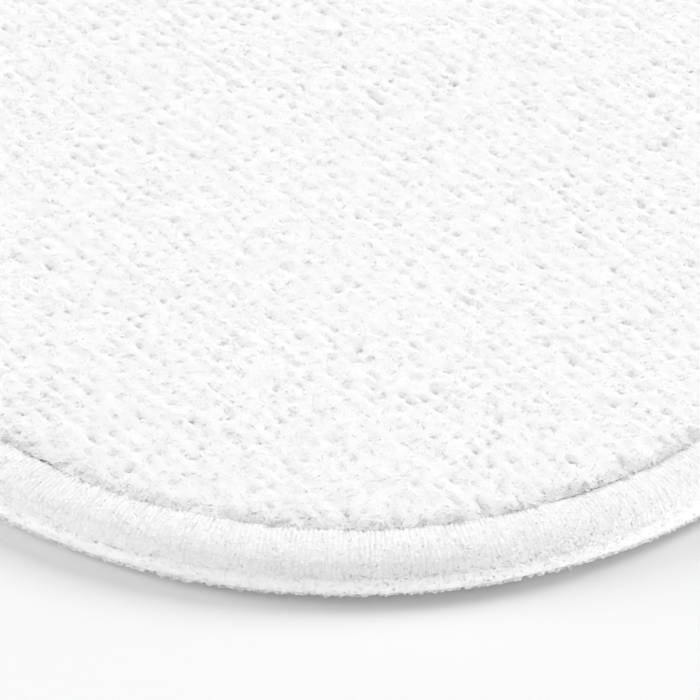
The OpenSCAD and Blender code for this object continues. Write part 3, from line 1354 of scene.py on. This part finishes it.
@dataclass
class CareLabel:
    """A blank satin ribbon, folded once and caught in the edge on the underside.

    Attributes:
        fold: Radius of the fold and the edges.
    """

    fold: float = 0.12 * MM

    def build(self) -> bpy.types.Object:
        """Models the folded ribbon.

        Returns:
            The label.
        """
        low, high = (np.array(corner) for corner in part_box("care_label"))
        middle, size = (low + high) / 2, high - low
        bpy.ops.object.select_all(action="DESELECT")
        bpy.ops.mesh.primitive_cube_add(size=1, location=middle)
        piece = bpy.context.active_object
        piece.name = "care_label_ribbon"
        piece.scale = size
        bpy.ops.object.transform_apply(location=True, rotation=True, scale=True)
        bpy.ops.object.mode_set(mode="EDIT")
        bpy.ops.mesh.select_all(action="SELECT")
        bpy.ops.mesh.subdivide(number_cuts=6)
        bpy.ops.object.mode_set(mode="OBJECT")
        rim = piece.modifiers.new("rim", "BEVEL")
        rim.width = self.fold
        rim.segments = 3
        rim.angle_limit = math.radians(60)
        bpy.ops.object.modifier_apply(modifier=rim.name)
        bpy.ops.object.shade_smooth_by_angle(angle=math.radians(40))
        settle(piece, LABEL_SATIN.build(), "label_satin", "care_label")
        return piece


# ---------------------------------------------------------------- studio


@dataclass(frozen=True)
class Lamp:
    """A soft square light that faces the camera's target.

    Attributes:
        name: Name of the light.
        round_by: Direction that it stands in, in degrees from the camera's own, anticlockwise
            from above.
        up_by: Its height above the table, in degrees.
        size: Length of its sides.
        power: Its power in watts.
    """

    name: str
    round_by: float
    up_by: float
    size: float
    power: float


LAMPS = (
    Lamp("left_low_light", 260, 10, size=4.0, power=276.0),
    Lamp("left_light", 260, 22, size=4.5, power=595.0),
    Lamp("left_back_light", 230, 36, size=4.5, power=87.0),
    Lamp("right_front_low_light", 40, 10, size=4.0, power=500.0),
    Lamp("right_low_light", 100, 14, size=4.0, power=187.0),
    Lamp("right_back_low_light", 130, 20, size=4.5, power=144.0),
    Lamp("right_back_light", 130, 36, size=4.5, power=644.0),
    Lamp("front_high_light", 0, 55, size=6.0, power=68.0),
)


@dataclass
class Studio:
    """The white table, the soft lights and the camera over the mat's near right corner.

    Attributes:
        corner_axis: Plan of the axis of the corner in view.
        azimuth: Direction that the camera stands in, from -Y towards +X.
        elevation: Height of the camera's line of sight.
        distance: Distance of the camera from its target.
        beyond: How far past the corner's axis the target lies.
        lens: Focal length on a 36 mm sensor.
        lamp_distance: Distance of the lamps from the target.
        sky_strength: Strength of the even light from all round.
        table_tone: How much of the light the table gives back.
        table_size: Length of the table's sides.
    """

    corner_axis: tuple[float, float]
    azimuth: float = math.radians(50)
    elevation: float = math.radians(38)
    distance: float = 0.770
    beyond: float = 31.5 * MM
    lens: float = 205.7
    lamp_distance: float = 10.0
    sky_strength: float = 0.277
    table_tone: float = 0.82
    table_size: float = 60.0

    def build(self) -> None:
        """Builds the camera, the table, the lights and the sky."""
        outwards = Vector((math.sin(self.azimuth), -math.cos(self.azimuth), 0))
        target = Vector((*self.corner_axis, 0)) + outwards * self.beyond
        back = outwards * math.cos(self.elevation) + Vector((0, 0, math.sin(self.elevation)))
        lens = bpy.data.cameras.new("camera")
        lens.lens = self.lens
        lens.clip_start = 0.01
        camera = bpy.data.objects.new("camera", lens)
        camera.location = target + back * self.distance
        camera.rotation_euler = (-back).to_track_quat("-Z", "Y").to_euler()
        bpy.context.collection.objects.link(camera)
        bpy.context.scene.camera = camera
        self.table()
        self.sky()
        for lamp in LAMPS:
            self.hang(lamp, target)
        bpy.context.scene.view_settings.view_transform = "Standard"

    def table(self) -> None:
        """Builds the white table."""
        bpy.ops.object.select_all(action="DESELECT")
        bpy.ops.mesh.primitive_plane_add(size=self.table_size, location=(0, 0, 0))
        top = bpy.context.active_object
        top.name = "table"
        material = bpy.data.materials.new("table_white")
        material.use_nodes = True
        shader = material.node_tree.nodes["Principled BSDF"]
        shader.inputs["Base Color"].default_value = (self.table_tone, self.table_tone, self.table_tone, 1)
        shader.inputs["Roughness"].default_value = 1.0
        shader.inputs["Specular IOR Level"].default_value = 0.0
        top.data.materials.append(material)

    def sky(self) -> None:
        """Fills the studio with even light."""
        world = bpy.data.worlds.new("studio")
        world.use_nodes = True
        light = world.node_tree.nodes["Background"]
        light.inputs["Color"].default_value = (1, 1, 1, 1)
        light.inputs["Strength"].default_value = self.sky_strength
        bpy.context.scene.world = world

    def hang(self, lamp: Lamp, target: Vector) -> None:
        """Adds one of the lamps.

        Args:
            lamp: The lamp.
            target: Point that it faces.
        """
        turn = self.azimuth + math.radians(lamp.round_by)
        rise = math.radians(lamp.up_by)
        back = Vector((math.sin(turn) * math.cos(rise), -math.cos(turn) * math.cos(rise), math.sin(rise)))
        data = bpy.data.lights.new(lamp.name, "AREA")
        data.size = lamp.size
        data.energy = lamp.power
        light = bpy.data.objects.new(lamp.name, data)
        light.location = target + back * self.lamp_distance
        light.rotation_euler = (-back).to_track_quat("-Z", "Y").to_euler()
        bpy.context.collection.objects.link(light)


# ---------------------------------------------------------------- the whole mat


def main() -> None:
    """Builds the mat and the studio from the CAD model's sizes."""
    low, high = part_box("lower_looper_thread")
    outline = Outline(high[0] - low[0], high[1] - low[1], CORNER_RADIUS)
    half_length = outline.length / 2

    def inset_of(node: str) -> float:
        """Gives a node's inset from the mat's outside."""
        return half_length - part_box(node)[1][0]

    backing_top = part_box("primary_backing")[1][2]
    upper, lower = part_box("upper_looper_thread"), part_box("lower_looper_thread")
    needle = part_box("needle_thread")
    needle_size = needle[1][2] - needle[0][2]
    pressed_z = needle[0][2] - FIT_GAP
    needle_inset = inset_of("needle_thread") + needle_size / 2
    edge_width = inset_of("needle_thread") - FIT_GAP
    sheet_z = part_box("felt_pad")[0][2] - SHEET_THICKNESS

    pile = Pile(outline, inset=edge_width + needle_size + 2 * FIT_GAP, root_z=backing_top,
                rim_z=pressed_z + 1.5 * MM, tip_z=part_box("pile")[1][2])
    pile.build_panels(PILE_YARN.build())
    pile.build_fibres(PILE_FIBRE.build())
    edge = OverlockedEdge(outline, crest_z=upper[1][2], inner_z=pressed_z + 1.3 * MM,
                          crease_z=upper[0][2] + LIP_RAISE, pressed_z=pressed_z,
                          lip_z=(lower[0][2] + 2 * LIP_RAISE, lower[1][2] + LIP_RAISE),
                          sheet_z=sheet_z, edge_width=edge_width, under_width=UNDER_WIDTH)
    edge.build_threads(ROLL_YARN.build(), LIP_YARN.build())
    edge.build_fuzz(ROLL_FIBRE.build(), LIP_FIBRE.build())
    stitches = NeedleStitches(outline, needle_inset, needle[0][2] + needle_size / 2, needle_size)
    stitches.build(NEEDLE_YARN.build())
    layers = Layers(outline, inset_of("felt_pad"), STUD_INSET)
    layers.build_backing()
    layers.build_felt()
    layers.build_base()
    layers.dress_latex()
    CareLabel().build()
    Studio((half_length - CORNER_RADIUS, CORNER_RADIUS - outline.width / 2)).build()


if __name__ == "__main__":
    main()
